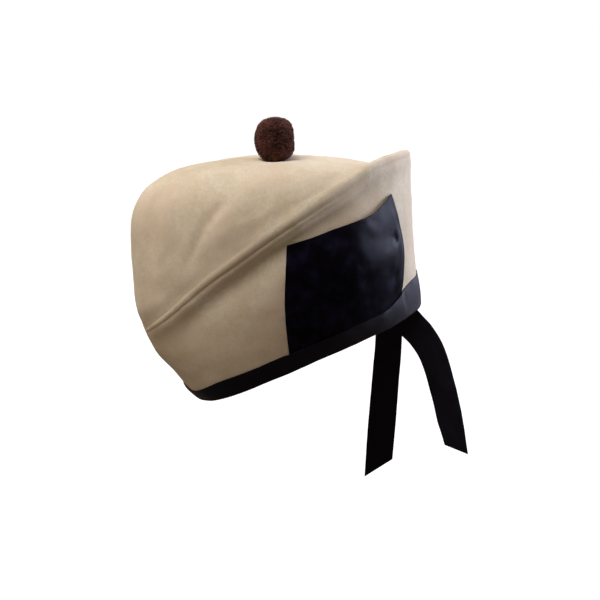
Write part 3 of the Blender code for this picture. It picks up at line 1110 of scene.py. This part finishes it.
def make_binding(finish):
    """The binding: a ribbon folded over the rim and puckered by its sewing."""
    outside = SEWN_GAP
    inside = -CLOTH_THICKNESS - 2 * SEWN_GAP
    middle = (outside + inside) / 2
    radius = (outside - inside) / 2
    turns = turns_between(-math.pi, math.pi, BINDING_COLUMNS)
    rows = []
    for share in INSIDE_SHARES:
        rows.append([beside_side(turn, BINDING_INSIDE_HEIGHT * share, inside) for turn in turns])
    for step in range(RIM_FOLD_STEPS + 1):
        angle = math.pi * step / RIM_FOLD_STEPS
        outward = middle - radius * math.cos(angle)
        below = Vector((0, 0, -radius * math.sin(angle)))
        rows.append([beside_side(turn, 0, outward) + below for turn in turns])
    for share in OUTSIDE_SHARES:
        row = []
        for turn in turns:
            height = binding_height(turn) * share
            sewn_in = STITCH_DEPTH * math.exp(-(((1 - share) / STITCH_REACH) ** 2))
            belly = BINDING_BELLY * math.sin(math.pi * share)
            belly += over_cockade(beside_side(turn, height, 0)) * share
            row.append(beside_side(turn, height, outside + belly - sewn_in))
        rows.append(row)
    binding = cloth("binding_ribbon", rows)
    relieve(binding, lambda place: unevenness(place, BINDING_SWELL))
    thicken(binding, RIBBON_THICKNESS, 1)
    return finish_piece(binding, finish, "black_ribbon", "binding")


def cockade_point(column, row):
    """A point of the cockade's back face. Column runs from its front edge, 0, over
    its pleats, and row from the binding, 0, to its head, 1."""
    pleat = row_at(COCKADE_PLEATS, column)
    foot_turn, _ = side_place(pleat.foot_y, BINDING_HEIGHT + RIM_ARCH)
    foot_height = rim_height(foot_turn) + binding_height(foot_turn) - COCKADE_TUCK
    y = pleat.foot_y + (pleat.head_y - pleat.foot_y) * row + pleat.bow * math.sin(math.pi * row)
    height = foot_height + (pleat.head_height - foot_height) * row
    turn, share = side_place(y, height)
    full = PLEAT_END_SHARE + (1 - PLEAT_END_SHARE) * math.sin(math.pi * row)
    standing = pleat.lift * full
    for fold in KNIFE_FOLDS:
        past = column - (fold.foot + (fold.head - fold.foot) * row)
        rise = max(1 + past / fold.run, 0) if past < 0 else max(1 - past / KNIFE_EDGE, 0)
        standing += fold.height * rise * full
    for dent in CRUMPLES:
        across = (column - dent.column) / dent.columns_wide
        up = (row - dent.row) / dent.rows_high
        standing -= dent.depth * math.exp(-(across**2) - up**2)
    standing = max(standing, 0) * eased(row / COCKADE_FOOT_LIES)
    return wool_point(turn, share) + outward_at(turn, share) * (SEWN_GAP + standing)


def make_cockade(finish):
    """The cockade: pleated ribbon sewn to the left side."""
    last = len(COCKADE_PLEATS) - 1
    columns = [last * i / COCKADE_COLUMNS for i in range(COCKADE_COLUMNS + 1)]
    rows = [
        [cockade_point(column, j / COCKADE_ROWS) for column in columns]
        for j in range(COCKADE_ROWS + 1)
    ]
    cockade = cloth("cockade_ribbon", rows)
    relieve(cockade, lambda place: wool_swell(place) + unevenness(place, COCKADE_SWELL))
    thicken(cockade, RIBBON_THICKNESS, 1)
    return finish_piece(cockade, finish, "black_ribbon", "cockade")


def tucked_inside(point, depth):
    """A tail's point, moved in where it would pass through the rim."""
    to_cap = Matrix.Rotation(-FRONT_DIP, 3, "X")
    level = to_cap @ point
    bearing = math.atan2(level.x, WIDEST_Y - level.y)
    turn = bearing
    for _ in range(PLACE_STEPS):
        low = rim_height(turn)
        share = max((level.z - low) / (seam_height(turn) - low), 0)
        edge = side_point(turn, share)
        turn += bearing - math.atan2(edge.x, WIDEST_Y - edge.y)
    if level.z < low - BELOW_RIM:
        return point
    outward = outward_at(turn, share)
    beyond = (level - side_point(turn, share)).dot(outward) + depth
    if beyond > 0:
        level -= outward * beyond
    return to_cap.transposed() @ level


def hanging_swell(place):
    """The unevenness of a tail, which grows with its loose length below the rim."""
    return unevenness(place, TAIL_SWELL) * min(max(-place.z / TAIL_LOOSE_BELOW, 0), 1)


def make_tail(name, node, stations, slant, depth, finish):
    """A tail: a ribbon that hangs from inside the rim and ends in a slanting cut."""
    rows = []
    for i in range(TAIL_ROWS + 1):
        station = row_at(stations, i / TAIL_ROWS)
        turn = math.radians(station.turn_deg)
        tip = math.radians(station.tip_deg)
        level = Vector((math.cos(turn), math.sin(turn), 0))
        across = level * math.cos(tip) + Vector((0, 0, math.sin(tip)))
        middle = Vector((station.x, station.y, station.z))
        slanting = max(0, (station.share - SLANT_STARTS_AT) / (1 - SLANT_STARTS_AT))
        row = []
        for column in range(TAIL_COLUMNS + 1):
            width = column / TAIL_COLUMNS - 0.5
            drop = Vector((0, 0, -slant * width * slanting))
            row.append(tucked_inside(middle + across * RIBBON_WIDTH * width + drop, depth))
        rows.append(row)
    tail = cloth(name, rows, worn=Matrix.Identity(4))
    relieve(tail, hanging_swell)
    thicken(tail, RIBBON_THICKNESS, 0)
    finish_piece(tail, finish, "black_ribbon", node)
    return tail


# The toorie

class YarnRing(NamedTuple):
    """A ring of a yarn end: its share of the toorie's radius, and its width."""

    share: float
    wide: float


YARN_RINGS = [
    YarnRing(0.70, 0.8),
    YarnRing(0.86, 1.0),
    YarnRing(0.97, 0.9),
    YarnRing(1.00, 0.35),
]
YARN_SIDES = 4
YARN_ENDS = 4600
YARN_RADIUS = 0.00052
YARN_THINNEST = 0.8
YARN_THICKEST = 1.25
YARN_SPREAD = 0.20
YARN_TURN_UNEVEN = 0.4
YARN_SWELL = Swell(0.35, 0.03)
YARN_SEED = 7
CORE_SHARE = 0.90
CORE_SUBDIVISIONS = 4
# The core's tone is dark: painted shade in the gaps between the yarn ends.
CORE_PAINTED_SHADE = 0.1
TOORIE_BLUNT = 2.6
TOORIE_FULL_BEHIND = 0.42
TOORIE_SLOPED_BEFORE = 0.18
TUFT_SHARE = 0.955
YARN_UNEVEN = 0.035


def egg_point(way, share):
    """A point of the toorie's egg, in a direction and at a share of its radius. It
    is fuller low behind, and slopes off high in front."""
    narrowing = 1 + TOORIE_TAPER * way.z
    tall = TOORIE_HEIGHT / (2 * TOORIE_RADIUS)
    level = math.hypot(way.x, way.y)
    blunt = (abs(way.z) ** TOORIE_BLUNT + level**TOORIE_BLUNT) ** (-1 / TOORIE_BLUNT)
    egg = Vector((way.x * narrowing, way.y * narrowing, way.z * tall)) * blunt
    egg.y *= 1 + TOORIE_FULL_BEHIND * max(way.y, 0) * max(-way.z, 0)
    egg *= 1 - TOORIE_SLOPED_BEFORE * max(-way.y, 0) * max(way.z, 0)
    return egg * TOORIE_RADIUS * TUFT_SHARE * share


def yarn_points(way, spread, reach, thickness):
    """The points of one cut yarn end, ring by ring from the core out."""
    side = way.orthogonal().normalized()
    other = way.cross(side)
    points = []
    for ring in YARN_RINGS:
        splayed = (way + spread * (ring.share - YARN_RINGS[0].share)).normalized()
        middle = egg_point(splayed, ring.share * reach)
        for corner in range(YARN_SIDES):
            angle = math.tau * corner / YARN_SIDES
            offset = (side * math.cos(angle) + other * math.sin(angle)) * thickness * ring.wide
            points.append(middle + offset)
    return points


def yarn_faces(first):
    """The faces of the yarn end whose points start at first, with its tip closed."""
    faces = []
    for row in range(len(YARN_RINGS) - 1):
        low = first + row * YARN_SIDES
        high = low + YARN_SIDES
        for corner in range(YARN_SIDES):
            after = (corner + 1) % YARN_SIDES
            faces.append((low + corner, low + after, high + after, high + corner))
    tip = first + (len(YARN_RINGS) - 1) * YARN_SIDES
    faces.append(tuple(range(tip, tip + YARN_SIDES)))
    return faces


def make_toorie(finish):
    """The toorie: cut yarn ends all round a core, packed into an even pile."""
    draw = random.Random(YARN_SEED)
    leaned = Matrix.Rotation(TOORIE_LEAN - FRONT_DIP, 4, "X")
    placed = AS_WORN @ Matrix.Translation(TOORIE_MIDDLE) @ leaned
    points = []
    faces = []
    tones = []
    golden_turn = math.pi * (3 - math.sqrt(5))
    for i in range(YARN_ENDS):
        height = 1 - 2 * (i + 0.5) / YARN_ENDS
        turn = i * golden_turn + draw.uniform(-YARN_TURN_UNEVEN, YARN_TURN_UNEVEN)
        level = math.sqrt(1 - height**2)
        way = Vector((level * math.cos(turn), level * math.sin(turn), height))
        spread = Vector((draw.gauss(0, 1), draw.gauss(0, 1), draw.gauss(0, 1))) * YARN_SPREAD
        reach = 1 + draw.uniform(-YARN_UNEVEN, YARN_UNEVEN) + unevenness(way, YARN_SWELL)
        thickness = YARN_RADIUS * draw.uniform(YARN_THINNEST, YARN_THICKEST)
        faces += yarn_faces(len(points))
        points += [placed @ point for point in yarn_points(way, spread, reach, thickness)]
        tones += [draw.random()] * (YARN_SIDES * len(YARN_RINGS))
    core = bmesh.new()
    bmesh.ops.create_icosphere(core, subdivisions=CORE_SUBDIVISIONS, radius=1)
    first = len(points)
    points += [placed @ egg_point(vertex.co.normalized(), CORE_SHARE) for vertex in core.verts]
    faces += [tuple(first + vertex.index for vertex in face.verts) for face in core.faces]
    # The core gets a dark tone, painted shade deep in the pile between the ends.
    tones += [CORE_PAINTED_SHADE] * len(core.verts)
    core.free()
    mesh = bpy.data.meshes.new("toorie_tuft")
    mesh.from_pydata(points, [], faces)
    tone = mesh.attributes.new("yarn_tone", "FLOAT", "POINT")
    tone.data.foreach_set("value", tones)
    mesh.shade_smooth()
    return finish_piece(add_object("toorie_tuft", mesh), finish, "toorie_wool", "toorie")


# The studio

FLOOR_BELOW = 0.02
FLOOR_RADIUS = 2.4
FLOOR_STEPS = 8
SWEEP = 1.2
SWEEP_STEPS = 12
WALL_HEIGHT = 2.5
FLOOR_SIDES = 96
CAMERA_NEAR = 0.01


def make_camera():
    """The camera at the photograph's angle to the cap."""
    flat = math.cos(CAMERA_ELEVATION)
    back = Vector(
        (
            math.sin(CAMERA_AZIMUTH) * flat,
            -math.cos(CAMERA_AZIMUTH) * flat,
            math.sin(CAMERA_ELEVATION),
        )
    )
    right = Vector((math.cos(CAMERA_AZIMUTH), math.sin(CAMERA_AZIMUTH), 0))
    up = back.cross(right)
    middle = PHOTO_PIXELS / 2
    aim = right * (middle - ORIGIN_PIXEL[0]) + up * (ORIGIN_PIXEL[1] - middle)
    camera = add_object("photo_camera", bpy.data.cameras.new("photo_camera"))
    camera.location = aim * METRES_PER_PIXEL + back * CAMERA_DISTANCE
    camera.rotation_euler = back.to_track_quat("Z", "Y").to_euler()
    camera.data.sensor_width = SENSOR_MM
    camera.data.lens = SENSOR_MM * CAMERA_DISTANCE / METRES_PER_PIXEL / PHOTO_PIXELS
    camera.data.clip_start = CAMERA_NEAR
    bpy.context.scene.camera = camera


class Softbox(NamedTuple):
    """A square soft light that faces the cap."""

    name: str
    x: float
    y: float
    z: float
    width: float
    watts: float
    colour: str


SOFTBOXES = [
    Softbox("key_softbox", 0.34, -0.62, 1.80, 0.8, 23, "#F8F6F6"),
    Softbox("window_softbox", -0.10, 1.90, 0.55, 0.8, 56, "#E2E8FF"),
    Softbox("front_softbox", 0.34, -1.40, 1.50, 0.9, 13, "#FFF0E0"),
    Softbox("far_softbox", -1.60, -0.35, 0.90, 1.0, 9, "#FFF8F0"),
]
LIGHTS_AIM = Vector((0, 0, 0.08))
ROOM_COLOUR = "#FFE6CC"
ROOM_ABOVE = 0.13
ROOM_BELOW = 0.19
ROOM_FADES_OVER = 0.6


def make_floor():
    """A pale paper floor that sweeps up into a wall all round. It throws no light
    and no shadow on the cap, as paper that stands far off wouldn't."""
    low = CAD_BOX[0].z - FLOOR_BELOW
    profile = [(FLOOR_RADIUS * i / FLOOR_STEPS, low) for i in range(FLOOR_STEPS + 1)]
    for i in range(1, SWEEP_STEPS + 1):
        angle = math.pi / 2 * i / SWEEP_STEPS
        profile.append((FLOOR_RADIUS + SWEEP * math.sin(angle), low + SWEEP * (1 - math.cos(angle))))
    profile.append((FLOOR_RADIUS + SWEEP, low + SWEEP + WALL_HEIGHT))
    shape = bmesh.new()
    line = [shape.verts.new((radius, 0, height)) for radius, height in profile]
    edges = [shape.edges.new(pair) for pair in zip(line, line[1:])]
    bmesh.ops.spin(
        shape,
        geom=line + edges,
        axis=(0, 0, 1),
        cent=(0, 0, 0),
        angle=math.tau,
        steps=FLOOR_SIDES,
        use_merge=True,
    )
    bmesh.ops.remove_doubles(shape, verts=shape.verts, dist=SAME_PLACE)
    mesh = bpy.data.meshes.new("studio_floor")
    shape.to_mesh(mesh)
    shape.free()
    mesh.shade_smooth()
    mesh.materials.append(make_studio_paper())
    floor = add_object("studio_floor", mesh)
    floor.visible_diffuse = False
    floor.visible_glossy = False
    floor.visible_shadow = False


def make_studio():
    """The floor, soft lights, and a dim room that is a little lighter below."""
    make_floor()
    for box in SOFTBOXES:
        light = add_object(box.name, bpy.data.lights.new(box.name, "AREA"))
        light.data.size = box.width
        light.data.energy = box.watts
        light.data.color = linear(box.colour)[:3]
        light.location = (box.x, box.y, box.z)
        light.rotation_euler = (light.location - LIGHTS_AIM).to_track_quat("Z", "Y").to_euler()
    world = bpy.data.worlds.new("pale_room")
    world.use_nodes = True
    tree = world.node_tree
    place = add(tree, "ShaderNodeTexCoord")
    height = add(tree, "ShaderNodeSeparateXYZ", {"Vector": (place, "Generated")})
    glow = add(
        tree,
        "ShaderNodeMapRange",
        {
            "Value": (height, "Z"),
            "From Min": -ROOM_FADES_OVER,
            "From Max": ROOM_FADES_OVER,
            "To Min": ROOM_BELOW,
            "To Max": ROOM_ABOVE,
        },
    )
    tree.nodes["Background"].inputs["Color"].default_value = linear(ROOM_COLOUR)
    tree.links.new(glow.outputs["Result"], tree.nodes["Background"].inputs["Strength"])
    bpy.context.scene.world = world
    bpy.context.scene.view_settings.view_transform = "Standard"


make_camera()
make_studio()
milled_wool = make_milled_wool()
petersham = make_ribbon(PETERSHAM)
make_crown(milled_wool)
make_side("side_left_wool", "side_left", 1, milled_wool)
make_side("side_right_wool", "side_right", -1, milled_wool)
make_binding(petersham)
make_cockade(make_ribbon(BLUE_PETERSHAM))
make_tail("tail_left_ribbon", "tail_left", LEFT_TAIL, LEFT_TAIL_SLANT, LEFT_TAIL_DEPTH, petersham)
make_tail("tail_right_ribbon", "tail_right", RIGHT_TAIL, RIGHT_TAIL_SLANT, RIGHT_TAIL_DEPTH, petersham)
make_toorie(make_toorie_yarn())
